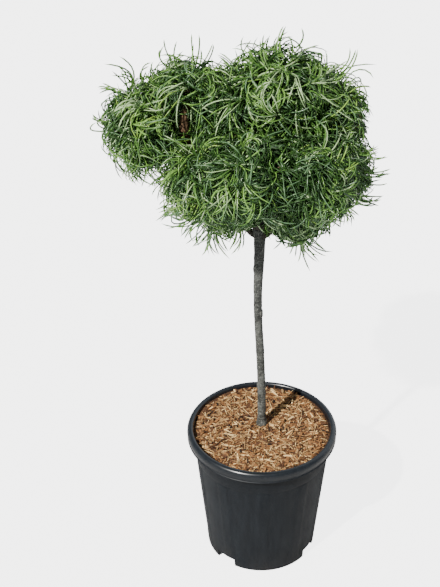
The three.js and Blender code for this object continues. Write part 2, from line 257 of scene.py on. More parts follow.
def smooth(piece, angle=None):
    alone(piece)
    if angle is None:
        bpy.ops.object.shade_smooth()
    else:
        bpy.ops.object.shade_smooth_by_angle(angle=angle * DEGREE)


def placed(name, data):
    """A new object in the scene."""
    made = bpy.data.objects.new(name, data)
    bpy.context.scene.collection.objects.link(made)
    return made


def fill(group, key, values, kind):
    group.foreach_set(key, np.asarray(values, dtype=kind).ravel())


def joined_mesh(name, corners, triangles, finishes, finish_of, grain=None):
    """One mesh from arrays: corners in millimetres, triangles, a finish for each triangle."""
    mesh = bpy.data.meshes.new(name)
    mesh.vertices.add(len(corners))
    fill(mesh.vertices, "co", corners * MM, np.float32)
    mesh.loops.add(triangles.size)
    fill(mesh.loops, "vertex_index", triangles, np.int32)
    mesh.polygons.add(len(triangles))
    fill(mesh.polygons, "loop_start", np.arange(0, triangles.size, 3), np.int32)
    for finish in finishes:
        mesh.materials.append(finish)
    fill(mesh.polygons, "material_index", finish_of, np.int32)
    fill(mesh.polygons, "use_smooth", np.ones(len(triangles)), bool)
    if grain is not None:
        fill(mesh.uv_layers.new(name="grain").data, "uv", grain[triangles.ravel()], np.float32)
    mesh.update(calc_edges=True)
    return placed(name, mesh)


def stacked(parts):
    """The arrays of several meshes as those of one: corners, triangles and what else there is."""
    moved, shift = [], 0
    for corners, triangles, *more in parts:
        moved.append((corners, triangles + shift, *more))
        shift += len(corners)
    return [np.concatenate(group) for group in zip(*moved)]


def paint(piece, finish):
    piece.data.materials.clear()
    piece.data.materials.append(finish)


def finished(piece, finish, slot, *nodes):
    """Gives a piece its finish, its body and what it stands for."""
    if finish:
        paint(piece, finish)
    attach(piece, "root")
    if nodes:
        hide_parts(*nodes)


# ---- finishes

def math_node(operation, swapped=False):
    """How an arithmetic sign on a wire adds its Math node."""
    def worked(wire, other):
        values = (other, wire) if swapped else (wire, other)
        return wire.finish.node("Math", values, operation=operation)
    return worked


class Wire:
    """An output socket of a finish. Sums on it add Math nodes."""

    def __init__(self, finish, socket):
        self.finish = finish
        self.socket = socket

    __add__, __radd__ = math_node("ADD"), math_node("ADD", True)
    __sub__, __rsub__ = math_node("SUBTRACT"), math_node("SUBTRACT", True)
    __mul__, __rmul__ = math_node("MULTIPLY"), math_node("MULTIPLY", True)


class Finish:
    """A material that is built node by node."""

    def __init__(self, name, constants):
        self.material = bpy.data.materials.new(name)
        self.material.use_nodes = True
        self.tree = self.material.node_tree
        self.shader = self.tree.nodes["Principled BSDF"]
        for key, value in constants.items():
            self.shader.inputs[key].default_value = value

    def node(self, kind, inputs=(), output=0, **settings):
        made = self.tree.nodes.new("ShaderNode" + kind)
        for key, value in settings.items():
            setattr(made, key, value)
        pairs = inputs.items() if isinstance(inputs, dict) else enumerate(inputs)
        for key, value in pairs:
            if isinstance(value, Wire):
                self.tree.links.new(value.socket, made.inputs[key])
            else:
                made.inputs[key].default_value = value
        return Wire(self, made.outputs[output])

    def place(self, stretch=None, source="Object"):
        at = self.node("TexCoord", output=source)
        return self.node("Mapping", {"Vector": at, "Scale": stretch}) if stretch else at

    def height(self):
        """The height above the pot's underside, in metres."""
        return self.node("SeparateXYZ", [self.place()], 2)

    def noise(self, size, detail=3, rough=0.5, stretch=None):
        """Noise whose features are about this many millimetres across."""
        return self.node("TexNoise", {"Vector": self.place(stretch), "Scale": 1 / (size * MM),
                                      "Detail": detail, "Roughness": rough})

    def cells(self, scale, stretch=None):
        """How far a place is from the middle of its cell."""
        return self.node("TexVoronoi", {"Vector": self.place(stretch), "Scale": scale})

    def ramp(self, share, stops):
        """Colours from (share, colour) stops."""
        made = self.node("ValToRGB", {"Fac": share})
        elements = made.socket.node.color_ramp.elements
        while len(elements) < len(stops):
            elements.new(1.0)
        for element, (place, colour) in zip(elements, stops):
            element.position = place
            element.color = (*colour, 1)
        return made

    def between(self, share, low, high):
        """0 below low, 1 above high."""
        inputs = {"Value": share, "From Min": low, "From Max": high}
        return self.node("MapRange", inputs, clamp=True)

    def blend(self, share, one, other):
        def colour(c):
            return c if isinstance(c, Wire) else (*c, 1)
        inputs = {0: share, 6: colour(one), 7: colour(other)}
        return self.node("Mix", inputs, 2, data_type="RGBA")

    def done(self, wires, height, depth, strength):
        """Feeds the shader, with a bump of that depth in millimetres."""
        bump = {"Height": height, "Distance": depth * MM, "Strength": strength}
        wires["Normal"] = self.node("Bump", bump)
        for key, wire in wires.items():
            self.tree.links.new(wire.socket, self.shader.inputs[key])
        return self.material


def pot_finish():
    """Charcoal plastic: fine grain, upright drag marks, scuffs, a little dust, a glossier rim, and
    painted shade on the neck under the rim band.
    """
    f = Finish("charcoal_pot_plastic",
               {"IOR": 1.45, "Specular IOR Level": 0.34, "Coat Roughness": 0.24})
    drag = f.noise(9, 4, 0.6, stretch=(1, 1, 0.12))
    scuff = f.between(f.noise(2.2, 5, 0.75, stretch=(1, 1, 0.35)), 0.6, 0.74)
    speck = f.between(f.noise(1.5, 2, 0.6), 0.6, 0.72)
    cloud = f.noise(46, 3, 0.55)
    height = f.height()
    dusty = f.between(height, 0.055, 0.0) * f.between(cloud, 0.35, 0.65)
    rim = f.between(height, 0.242, 0.25)
    # painted shade: the neck just under the rim band is darkened, as if in the rim's shadow
    neck = f.between(height, 0.2, 0.232) * f.between(height, 0.2415, 0.2395)
    base = f.blend(f.between(drag, 0.35, 0.7), (0.0052, 0.0072, 0.0102), (0.01, 0.013, 0.0172))
    base = f.blend(scuff * 0.4, base, (0.045, 0.052, 0.058))
    base = f.blend(speck * 0.35, base, (0.04, 0.048, 0.055))
    # the painted shade under the rim
    base = f.blend(neck * 0.6, base, (0.003, 0.004, 0.006))
    return f.done({"Base Color": f.blend(dusty * 0.3, base, (0.05, 0.045, 0.038)),
                   "Roughness": 0.44 - 0.18 * rim + 0.14 * cloud + 0.2 * scuff + 0.1 * dusty,
                   "Coat Weight": rim * 0.7},
                  0.6 * f.noise(0.9, 2) + 0.8 * drag + 0.4 * scuff, 0.22, 0.55)


def bark_finish():
    """Smooth grey bark with fine cross rings, paler scars, and darker towards the crown."""
    f = Finish("grey_stem_bark", {"IOR": 1.45})
    height = f.height()
    cloud = f.noise(13, 4, 0.65, stretch=(1, 1, 0.5))
    ring = f.noise(2.2, 3, 0.6, stretch=(0.14, 0.14, 1))
    fleck = f.between(f.noise(1.9, 3, 0.7, stretch=(1, 1, 0.6)), 0.56, 0.66)
    up = f.between(height, 0.45, 0.66)
    base = f.blend(f.between(cloud, 0.34, 0.62), (0.017, 0.019, 0.017), (0.122, 0.129, 0.118))
    base = f.blend(up * 0.6, base, (0.05, 0.052, 0.051))
    base = f.blend(f.between(ring, 0.48, 0.36) * 0.7, base, (0.02, 0.02, 0.018))
    base = f.blend(f.between(ring, 0.54, 0.64) * 0.4, base, (0.18, 0.19, 0.17))
    base = f.blend(fleck * 0.5, base, (0.42, 0.42, 0.38))
    return f.done({"Base Color": base, "Roughness": 0.72 + 0.2 * cloud},
                  0.9 * ring + 0.5 * f.noise(0.9, 3) + 0.4 * cloud, 0.6, 0.9)


def shoot_finish(name, dark, pale):
    """Scaly bark of the boughs and twigs, with painted shade low down inside the crown."""
    f = Finish(name, {"IOR": 1.45})
    scale = f.cells(420, (1, 1, 0.6))
    cloud = f.noise(7, 3, 0.6)
    base = f.blend(f.between(cloud, 0.3, 0.7), dark, pale)
    base = f.blend(f.between(scale, 0.35, 0.65) * 0.8, base, (0.035, 0.016, 0.008))
    # painted shade: the bark is darker low down, inside the crown
    shaded = f.between(f.height(), 0.73, 0.68)
    base = f.blend(shaded * 0.9, base, (0.045, 0.042, 0.033))
    return f.done({"Base Color": base, "Roughness": 0.75 + 0.15 * cloud}, 1 - scale, 0.8, 0.9)


def needle_finish(name, colour, darker, rough, sheen):
    """One green of the needles: faint unevenness along them, and a waxy sheen."""
    f = Finish(name + "_needle", {"Roughness": rough, "IOR": 1.48, "Specular IOR Level": sheen})
    base = f.blend(f.between(f.noise(6, 2, 0.5), 0.35, 0.65), colour, darker)
    return f.done({"Base Color": base}, f.noise(0.8, 2), 0.08, 0.4)


def chip_finish(name, pale, dark):
    """One brown of the bark chips, with the grain along each chip."""
    f = Finish(name + "_chip", {"IOR": 1.4})
    grain = f.node("TexNoise", {"Vector": f.place((0.22, 2.2, 1), "UV"), "Scale": 900,
                                "Detail": 3, "Roughness": 0.65})
    patch = f.noise(3.2, 2)
    base = f.blend(f.between(grain, 0.36, 0.64), dark, pale)
    base = f.blend(f.between(patch, 0.5, 0.75) * 0.45, base, dark)
    return f.done({"Base Color": base, "Roughness": 0.8 + 0.15 * patch}, grain, 0.5, 0.9)


def bed_finish():
    """Dark crumbs and fibres under the chips."""
    f = Finish("mulch_bed", {"IOR": 1.4})
    crumb = f.noise(3.0, 5, 0.7)
    cell = f.cells(300)
    base = f.ramp(crumb, ((0.34, (0.03, 0.014, 0.007)), (0.52, (0.125, 0.056, 0.022)),
                          (0.72, (0.26, 0.115, 0.045))))
    base = f.blend(f.between(cell, 0.2, 0.7) * 0.5, base, (0.03, 0.016, 0.009))
    return f.done({"Base Color": base, "Roughness": 0.85 + 0.1 * crumb}, crumb - 0.6 * cell, 1.6, 1)


def compost_finish():
    """Dark moist compost."""
    f = Finish("dark_compost", {"IOR": 1.4})
    crumb = f.noise(4.0, 5, 0.7)
    base = f.blend(f.between(crumb, 0.3, 0.7), (0.015, 0.009, 0.006), (0.09, 0.055, 0.035))
    return f.done({"Base Color": base, "Roughness": 0.75 + 0.2 * crumb}, crumb, 1.5, 1)


# ---- the pot

def body_radius(z):
    return POT.base + POT.taper * z


def inside_radius(z):
    return body_radius(z) - POT.wall


def make_pot():
    height, rim, wall, draft = POT.height, POT.rim, POT.wall, POT.rim_draft
    rim_foot, groove = height - POT.rim_height, height - POT.lip_drop
    neck = body_radius(POT.neck_foot)
    neck_top = neck + POT.neck_flare
    lip = rim - POT.lip_width
    sides = (1.2, 16, FLUTES.foot, 60, 110, 160, FLUTES.top)
    skirt = ((0, 0), (0.7, 0.6), (0.8, 1.6), (0, 2.6))
    brim = ((0.4, 248), (0, 251.5), (0.2, 253.8), (0.9, 256), (2.1, 258), (3.7, 259.4),
            (5.5, 260), (8.6, 260), (10, 259.2))
    profile = [
        (0, 0), (60, 0), (POT.base - 1.2, 0), *((body_radius(z), z) for z in sides),
        (neck - FLUTES.depth, POT.neck_foot - 0.4), (neck - 0.3, POT.neck_foot + 0.2),
        (neck, POT.neck_foot + 1), (neck + 1.2, 220), (neck_top, rim_foot), (neck_top, groove),
        (rim - wall, groove), (rim - wall - draft, rim_foot + 0.5),
        (rim - wall - draft + 0.5, rim_foot),
        *((rim - draft + out, rim_foot + up) for out, up in skirt),
        *((rim - inward, z) for inward, z in brim),
        (lip + 0.1, 257.6), (lip - 0.5, 254.5), (lip - 0.6, 252),
        *((inside_radius(z), z) for z in (rim_foot, 120, wall + 2)),
        (inside_radius(wall) - 2, wall), (0, wall),
    ]
    pot = spun("nursery_pot", profile, POT.steps)
    editing(pot)
    pitch = 360 / FLUTES.ribs

    def between_ribs(x, y, z):
        if z < FLUTES.foot - 0.1 or z > FLUTES.top + 0.1:
            return False
        if math.hypot(x, y) < inside_radius(z) + POT.wall / 2:
            return False
        azimuth = math.atan2(x, -y) / DEGREE - POT.turn
        return abs(azimuth - round(azimuth / pitch) * pitch) > FLUTES.half

    pick(pot, between_ribs)
    shrink = 1 - FLUTES.depth / body_radius(110)
    resize(shrink, shrink)
    rested()
    near, spread = POT.base - NOTCH.depth, math.tan(NOTCH.half * DEGREE)
    far, end, lining, high = NOTCH.end, NOTCH.lining_end, NOTCH.lining, NOTCH.height
    turned = [a + POT.turn for a in NOTCH.azimuths]
    for azimuth in turned:
        cut(pot, block("lining", near - lining, end, spread * near + 1.5 * lining,
                       spread * end + 1.3 * lining, wall / 2, high + lining, azimuth), "UNION")
    for azimuth in turned:
        cut(pot, block("notch", near, far, spread * near, spread * far, -5, high, azimuth))
        cut(pot, block("drain", near - DRAIN.reach, near + DRAIN.reach, DRAIN.half, DRAIN.half,
                       DRAIN.foot, DRAIN.top, azimuth))
    smooth(pot, 32)
    finished(pot, pot_finish(), "pot_plastic", "pot")


# ---- the stem and its boughs

def limb(name, points, radii, fine):
    """A limb: a chain of vertices given a round skin of that radius, then smoothed."""
    piece = chain(name, points)
    alone(piece)
    modifier = piece.modifiers.new("SKIN", "SKIN")
    skin = piece.data.skin_vertices[0].data
    for vertex, radius in zip(skin, radii):
        vertex.radius = [SKIN_PER_RADIUS * radius * MM] * 2
    skin[0].use_root = True
    bpy.ops.object.modifier_apply(modifier=modifier.name)
    shaped_with(piece, "SUBSURF", levels=fine, render_levels=fine)
    return piece


def stem_rows(step):
    table = np.array(STEM, float)
    heights = np.arange(table[0, 0], table[-1, 0] + 0.1, step)
    x, y, radius = (np.interp(heights, table[:, 0], table[:, k]) for k in (1, 2, 3))
    soft = np.array([1, 2, 3, 2, 1]) / 9
    for row in (x, y):
        row[2:-2] = np.convolve(row, soft, "valid")
    return np.stack([x, y, heights], 1), radius


def bezier(a, b, c, rows):
    t = np.linspace(0, 1, rows)[:, None]
    return (1 - t) ** 2 * a + 2 * t * (1 - t) * b + t * t * c


def bough_line(name, rows):
    """From the bough's start, past the point it bends towards, to its mass's heart."""
    heart, _, start, by = MASSES[name]
    return bezier(start, by, heart, rows)


BOUGH_ROWS, BOUGH_RADII = 14, (5.2, 2.6)
STEM_GAP = 1.5
UPRIGHT = "left_top"  # this bough is thick and shows as a brown shoot, with fewer twigs


def make_stem():
    points, radii = stem_rows(6.5)
    stem = limb("stem_bark", points, radii, 3)
    editing(stem)
    for centre, size, push in SCARS:
        pick(stem, lambda x, y, z: math.dist((x, y, z), centre) < size)
        bpy.ops.transform.translate(value=Vector(push) * MM)
        bpy.ops.mesh.vertices_smooth(factor=0.5, repeat=2)
    rested()
    relief(stem, 9, 0.9)
    relief(stem, 2.4, 0.45)
    smooth(stem)
    finished(stem, bark_finish(), "bark", "trunk")


def make_boughs(shoot_bark, twig_bark):
    for name in MASSES:
        thick, bark = (2.0, shoot_bark) if name == UPRIGHT else (1, twig_bark)
        radii = np.linspace(*BOUGH_RADII, BOUGH_ROWS) * thick
        bough = limb("limb_" + name, bough_line(name, BOUGH_ROWS), radii, 2)
        relief(bough, 3.2, 1.1)
        smooth(bough)
        finished(bough, bark, "young_bark", "bough_" + name)


# ---- foliage, grown on from the boughs

TWIG = Sizes(tried=28, root=0.1, to=(0.26, 0.52), radius=(1.9, 1.2), sides=5, rows=5, sway=0.06,
             sag=0.03)
SHOOT = Sizes(at=(0.42, 0.62, 0.82, 1.0), lean=(1.1, 0.95, 0.8, 0.3), length=(0.16, 0.28),
              radius=(1.3, 1.0), sides=4, rows=4, rise=0.12, sag=0.06, furthest=0.8)
BUNDLE = Sizes(count=5, root=0.1, lean=(0.3, 1.5), outward=0.3, needles=5, spread=0.3,
               spreads=(0.4, 1.3), front=10, front_kept=0.86, inner_kept=0.68)
NEEDLE = Sizes(length=(52, 80), lengths=(0.86, 1.08), radius=(0.9, 1.22), bend=(1.3, 5.0),
               bends=(0.7, 1.3), turn=(-1.8, 1.8), turns=0.4, swing=1.1, rows=7, inner_rows=3,
               inner=54, inner_wide=1.3, buried=88, furthest=1.1, tries=4, shorten=0.9)
TAPER = ((0, 0.15, 0.88, 1), (0.8, 1, 0.9, 0))  # along a needle, and how thick it is there
DROOP = Sizes(share=0.75, fringe=0.4, outward=0.25)
FRINGE = Sizes(top=748, fade=55)  # below this the crown's fringe hangs loose
CROWN = Sizes(heart=(-28, 5, 812), reach=(215, 190, 172))
# Hollows near the front, where few bundles grow
THIN = Sizes(front=30, ahead=40, below=-0.36, kept=0.3)
# Tufts that show against the sky: base x and z, tip x and z, depth, needles, fan, curl
TUFTS = {
    "left": ((-104, 955, -105, 994, -15, 2, 0.06, 0.1), (-138, 955, -144, 977, -15, 5, 0.3, 0.7),
        (-198, 922, -213, 944, -20, 9, 0.34, -0.9), (-180, 925, -174, 946, -20, 7, 0.4, 1.1),
        (-218, 905, -234, 916, -20, 6, 0.35, -0.8), (-226, 850, -249, 858, -20, 9, 0.4, 0.9)),
    "top": ((17, 972, 24, 1020, -20, 3, 0.05, 0.25), (10, 958, -4, 996, -25, 4, 0.25, 0.5),
        (46, 970, 52, 996, -20, 4, 0.3, -0.5), (-84, 955, -80, 980, -15, 4, 0.3, -0.4)),
    "right": ((108, 945, 137, 972, -20, 5, 0.16, -0.5), (128, 925, 152, 938, -20, 5, 0.3, 1.2),
        (145, 778, 186, 774, -30, 11, 0.3, -0.6), (140, 738, 176, 725, -30, 12, 0.3, -0.7),
        (108, 712, 138, 690, -30, 12, 0.35, 0.6), (138, 818, 176, 806, -30, 11, 0.35, -0.7)),
    "low": ((-88, 690, -102, 650, -40, 9, 0.34, 0.6), (-76, 680, -74, 638, -40, 10, 0.38, -0.7),
        (-122, 718, -172, 722, -40, 10, 0.25, -0.6), (-108, 710, -152, 694, -40, 10, 0.34, 0.8),
        (-96, 690, -122, 664, -40, 9, 0.42, -0.8), (-40, 672, -44, 648, -50, 6, 0.4, 0.6),
        (62, 676, 86, 632, -50, 12, 0.32, -0.6), (44, 668, 58, 638, -50, 10, 0.4, 0.6),
        (30, 672, 34, 648, -50, 6, 0.4, 0.6)),
}
TUFT = Sizes(seed=91000, loose=(70, 90), sunk=0.86, step=4, scatter=14, turn=1.8, length=(38, 82),
             lengths=(0.76, 1.12), curls=(0.7, 3.0), radius=(1.15, 1.5))
# The share of bundles that stand out from the rest, how far, and how much wider they are
STRAY = Sizes(share=0.09, low_share=0.42, furthest=1.26, bend=1.05, wide=1.35)


UP, FRONT = np.array([0, 0, 1.0]), np.array([0, 1.0, 0])


def size_of(v):
    return np.linalg.norm(v, axis=-1)


def unit(v):
    return v / size_of(v)[..., None]


def dot(a, b):
    return np.sum(a * b, -1, keepdims=True)


def rotated(v, axis, angle):
    """Vectors turned about unit axes by angles."""
    c, s = np.cos(angle)[..., None], np.sin(angle)[..., None]
    return v * c + np.cross(axis, v) * s + axis * dot(v, axis) * (1 - c)


def square_to(v):
    """A unit vector square to each vector."""
    return unit(np.cross(v, np.where(np.abs(v[..., 2:]) < 0.9, UP, UP[::-1])))


def squared(v, way):
    """Unit vectors like v, but square to a unit vector."""
    return unit(v - way * dot(v, way))


def reach_share(points):
    """How far out each point lies in the mass that holds it best: 1 is that mass's reach."""
    return np.min([size_of((points - heart) / reach) for heart, reach, *_ in MASSES.values()], 0)


def buried(points, depth):
    """Whether the foliage goes on for a way in every direction from a point."""
    ways = np.array([*np.ndindex(3, 3, 3)]) - 1
    return np.all([reach_share(points + way / math.hypot(*way) * depth) < 1
                   for way in ways if way.any()], 0)


def stem_balls():
    """Balls along the stem and the foot of the first bough, through which no needle passes."""
    points, radii = stem_rows(5)
    line, thick = bough_line("left_tip", 24), np.linspace(*BOUGH_RADII, 24)
    return [*zip(points, radii + STEM_GAP), *zip(line[:9], thick[:9])]


def clear_of_stem(points):
    return np.all([size_of(points - centre) > radius for centre, radius in stem_balls()], 0)


# Gaps in the foliage: the far end, the way it opens, half its width and height, its length, how
# many needles cross it. Two show an upright brown shoot and let the sun in, one the stem's head.
GAPS = (
    ((-114, -12, 848), (0.03, -0.907, 0.418), 10, 50, 120, 0.05),
    ((-114, -12, 853), (-0.44, -0.555, 0.708), 8, 34, 70, 0.22),
    ((-6, -4, 650), (-0.012, -0.866, 0.499), 8, 25, 200, 0.06),
)


def clear_of_gaps(points, seed):
    """Points outside the gaps. More and more needles cross them towards their edges."""
    clear = np.ones(points.shape[:-1], bool)
    for start, way, wide, tall, long, few in GAPS:
        way = unit(np.array(way))
        side = unit(np.cross(way, UP))
        away = points - start
        ahead = away @ way
        off = np.hypot(away @ side / wide, away @ np.cross(side, way) / tall)
        let = chance(seed, 17)[:, None] < few + 0.5 * off ** 4
        clear &= (ahead < 0) | (ahead > long) | let
    return clear.all(1)


def swell(points):
    """A slow wavy pattern through space, from -1 to 1."""
    waves = ((0, 8, 1.4, 1, 12), (1, 9, 1.6, 2, 11), (2, 7.5, 1.3, 0, 13))
    return sum(np.sin(points[..., i] / length + sway * np.sin(points[..., j] / other))
               for i, length, sway, j, other in waves) / 3


def grow_shoots(name, index):
    """The twigs of one mass, which part evenly from its heart, and the shoots on them."""
    heart, reach = MASSES[name][:2]
    twigs, shoots = [], []
    tried = TWIG.tried // (2 if name == UPRIGHT else 1)
    for k in range(tried):
        level = 1 - 2 * (k + 0.5) / tried
        flat = math.sqrt(1 - level * level)
        turn = k * GOLDEN_TURN + index
        along = np.array([flat * math.cos(turn), flat * math.sin(turn), level])
        radius = 1 / np.linalg.norm(along / reach)
        seed = 100 * index + k
        far = mix(*TWIG.to, chance(seed, 1))
        root, end = heart + along * radius * TWIG.root, heart + along * radius * far
        side = square_to(along)
        sway = rotated(side, along, chance(seed, 2) * FULL_TURN) * radius * TWIG.sway
        middle = (root + end) / 2 + sway - UP * (radius * TWIG.sag)
        twigs.append(bezier(root, middle, end, TWIG.rows))
        for j, (at, lean) in enumerate(zip(SHOOT.at, SHOOT.lean)):
            start = bezier(root, middle, end, 101)[round(100 * at)]
            axis = rotated(side, along, j * GOLDEN_TURN + 6.3 * chance(seed, 3 + j))
            way = unit(rotated(along, axis, lean) + UP * SHOOT.rise)
            length = radius * mix(*SHOOT.length, chance(seed, 9 + j))
            tip = start + way * length
            if reach_share(tip) > SHOOT.furthest:
                continue
            bend = (start + tip) / 2 - UP * (SHOOT.sag * length)
            shoots.append((bezier(start, bend, tip, SHOOT.rows), way))
    return twigs, shoots


def rings(points, across, other, radii, sides):
    """The corners of rings round the points of many lines."""
    turn = np.arange(sides) * FULL_TURN / sides
    ring = across[:, :, None] * np.cos(turn)[:, None] + other[:, :, None] * np.sin(turn)[:, None]
    return points[:, :, None] + ring * radii[:, :, None, None]


def wrapped(rows, sides):
    """The triangles between the rings of one line."""
    i, j = np.meshgrid(np.arange(rows - 1), np.arange(sides), indexing="ij")
    a, b = i * sides + j, i * sides + (j + 1) % sides
    return np.stack([a, b, b + sides, a, b + sides, a + sides], -1).reshape(-1, 3)


def repeated(triangles, count, corners):
    """One line's triangles for each of many lines with that many corners."""
    return (triangles[None] + (np.arange(count) * corners)[:, None, None]).reshape(-1, 3)


def tubes(lines, radius, sides):
    """Round twigs with the same radius at either end, from lines of the same number of rows."""
    lines = np.array(lines)
    count, rows = lines.shape[:2]
    way = unit(np.gradient(lines, axis=1))
    across = square_to(way)
    radii = np.linspace(*radius, rows)[None]
    corners = rings(lines, across, np.cross(way, across), radii, sides).reshape(-1, 3)
    last = (rows - 1) * sides
    caps = np.array([[last, last + m, last + m + 1] for m in range(1, sides - 1)])
    return corners, repeated(np.concatenate([wrapped(rows, sides), caps]), count, rows * sides)


def grow_needles(shoots, index):
    """Bundles of five needles up each shoot; each needle curls and twists its own way."""
    lines, ways = (np.array(group) for group in zip(*shoots))
    count, needles = BUNDLE.count, BUNDLE.needles
    shoot = np.repeat(np.arange(len(shoots)), count)
    place = np.tile(np.arange(count), len(shoots))
    seed = 5000 * (index + 1) + np.arange(len(shoot))
    share = mix(BUNDLE.root, 1.0, (place + chance(seed, 1)) / count)
    step = share * (lines.shape[1] - 1)
    below = np.minimum(step.astype(int), lines.shape[1] - 2)
    root = mix(lines[shoot, below], lines[shoot, below + 1], (step - below)[:, None])
    way = ways[shoot]
    side = rotated(square_to(way), way, seed * GOLDEN_TURN + chance(seed, 2))
    out = rotated(way, side, mix(*BUNDLE.lean, chance(seed, 3) ** 1.2) * (1.1 - 0.5 * share))
    # rather towards the crown's outside
    outward = unit((root - CROWN.heart) / CROWN.reach)
    out = unit(out + BUNDLE.outward * outward)
    # fewer bundles grow deep inside, at the front and in the hollows, and none in the very middle
    inner = buried(root, NEEDLE.inner)
    front = np.where(root[:, 1] > BUNDLE.front, 1, BUNDLE.front_kept)
    kept = np.where(inner, BUNDLE.inner_kept, front)
    thin = (root[:, 1] < THIN.front) & (swell(root + THIN.ahead * out) < THIN.below)
    kept = np.where(thin & ~inner, THIN.kept, kept)
    keep = ~buried(root, NEEDLE.buried) & (chance(seed, 16) < kept)
    root, out, outward, seed, inner = (v[keep] for v in (root, out, outward, seed, inner))
    fringe = ((FRINGE.top - root[:, 2]) / FRINGE.fade).clip(0, 1) * ~inner
    stray = chance(seed, 12) < STRAY.share + STRAY.low_share * fringe
    # how the bundle curls: a share of them droop, the others curl any way
    any_way = rotated(square_to(out), out, 6.283 * chance(seed, 4))
    droop = unit(np.cross(out, DROOP.outward * outward - UP) + 1e-6)
    drooping = (DROOP.share * chance(seed, 5) + DROOP.fringe * fringe).clip(0, 1)
    axis = unit(mix(any_way, droop, drooping[:, None]))
    bend = mix(*NEEDLE.bend, chance(seed, 6)) * np.where(stray, STRAY.bend, 1)
    turn = mix(*NEEDLE.turn, chance(seed, 7))
    length = mix(*NEEDLE.length, chance(seed, 8))
    # five needles that part a little
    n = np.tile(np.arange(needles), len(seed))
    bundle = np.repeat(np.arange(len(seed)), needles)
    own, out = seed[bundle] + 0.137 * (n + 1), out[bundle]
    part = rotated(square_to(out), out, n * FULL_TURN / needles + chance(own, 1))
    spread = mix(*BUNDLE.spreads, chance(own, 2))[:, None]
    start = unit(out + BUNDLE.spread * part * spread)
    wide = np.where(inner, NEEDLE.inner_wide, np.where(stray, STRAY.wide, 1))[bundle]
    swung = rotated(axis[bundle], out, NEEDLE.swing * (chance(own, 3) - 0.5))
    return {
        "root": root[bundle], "way": start, "place": root[bundle], "inner": inner[bundle],
        "axis": squared(swung, start),
        "bend": bend[bundle] * mix(*NEEDLE.bends, chance(own, 4)),
        "turn": turn[bundle] + NEEDLE.turns * (chance(own, 5) - 0.5),
        "length": length[bundle] * mix(*NEEDLE.lengths, chance(own, 6)),
        "radius": mix(*NEEDLE.radius, chance(own, 7)) * wide,
        "seed": own, "bundle": seed[bundle],
        "furthest": np.where(stray, STRAY.furthest, NEEDLE.furthest)[bundle],
    }


def grow_tufts(region):
    """The tufts of one region: loose fans of needles that stand out of the crown."""
    table = np.array(TUFTS[region], float)
    n = np.repeat(np.arange(len(table)), table[:, 5].astype(int))
    x, z, tip_x, tip_z, depth, _, fan, curl = table[n].T
    own = TUFT.seed + 100 * list(REGIONS).index(region) + np.arange(len(n)) * 1.37
    back = np.array([0, 1, -0.65])  # the way in which a tuft is loosened in depth
    near, far = TUFT.loose
    root = np.stack([x, depth, z], -1) + near * (chance(own, 10)[:, None] - 0.3) * back
    tip = np.stack([tip_x, depth, tip_z], -1) + far * (chance(own, 11)[:, None] - 0.4) * back
    hearts = np.array([mass[0] for mass in MASSES.values()])
    for _ in range(24):  # roots that stand out sink into the nearest mass
        inward = unit(hearts[size_of(root[:, None] - hearts).argmin(1)] - root)
        root = root + inward * np.where(reach_share(root) > TUFT.sunk, TUFT.step, 0)[:, None]
    length = size_of(tip - root).clip(*TUFT.length)
    curl = curl * mix(*TUFT.curls, chance(own, 1))
    towards = rotated(unit(tip - root), FRONT, 2 * fan * (chance(own, 2) - 0.5))
    axis = rotated(squared(FRONT, towards), towards, TUFT.turn * (chance(own, 12) - 0.5))
    scatter = np.stack([chance(own, k) for k in (4, 5, 6)], -1) - 0.5
    return {
        "root": root + TUFT.scatter * scatter, "way": rotated(towards, axis, -curl / 2),
        "axis": axis, "bend": curl, "turn": NEEDLE.turns * chance(own, 7),
        "length": length * (1 + 0.04 * curl ** 2) * mix(*TUFT.lengths, chance(own, 8)),
        "radius": mix(*TUFT.radius, chance(own, 9)), "seed": own, "bundle": TUFT.seed + n,
        "place": root, "inner": np.zeros(len(n), bool),
    }


def needle_lines(grown, rows):
    """The middle lines of the needles and the frames of their sections."""
    point, way, axis = grown["root"], grown["way"], grown["axis"]
    step = grown["length"] / rows
    points, acrosses = [point], [axis]
    for _ in range(rows):
        way = rotated(way, axis, grown["bend"] / rows)
        axis = rotated(axis, way, grown["turn"] / rows)
        point = point + way * step[:, None]
        points.append(point)
        acrosses.append(axis)
    return np.stack(points, 1), np.stack(acrosses, 1)


def fitted(grown):
    """Needles that reach past the crown are shortened; what still does, or meets the stem, goes."""
    furthest = grown.pop("furthest")[:, None]
    for attempt in range(NEEDLE.tries):
        points, _ = needle_lines(grown, 4)
        over = (reach_share(points[:, 2:]) > furthest).any(1)
        if attempt < NEEDLE.tries - 1:
            grown["length"] = grown["length"] * np.where(over, NEEDLE.shorten, 1)
    good = ~over & clear_of_stem(points[:, 1:]).all(1) & clear_of_gaps(points, grown["seed"])
    return {key: value[good] for key, value in grown.items()}


def needle_mesh(grown, rows):
    """Three-sided needles that taper to a point. Also says which side each triangle is on."""
    points, axis = needle_lines(grown, rows)
    other = unit(np.cross(unit(np.gradient(points, axis=1)), axis))
    radii = grown["radius"][:, None] * np.interp(np.arange(rows + 1) / rows, *TAPER)
    body = rings(points, axis, other, radii, 3)[:, :rows].reshape(len(points), -1, 3)
    corners = np.concatenate([body, points[:, rows:]], 1)
    last, tip = 3 * (rows - 1), 3 * rows
    tips = np.array([[last + m, last + (m + 1) % 3, tip] for m in range(3)])
    triangles = repeated(np.concatenate([wrapped(rows, 3), tips]), len(points), tip + 1)
    side = np.concatenate([np.repeat(np.tile(np.arange(3), rows - 1), 2), np.arange(3)])
    return corners.reshape(-1, 3), triangles, np.tile(side, len(points))


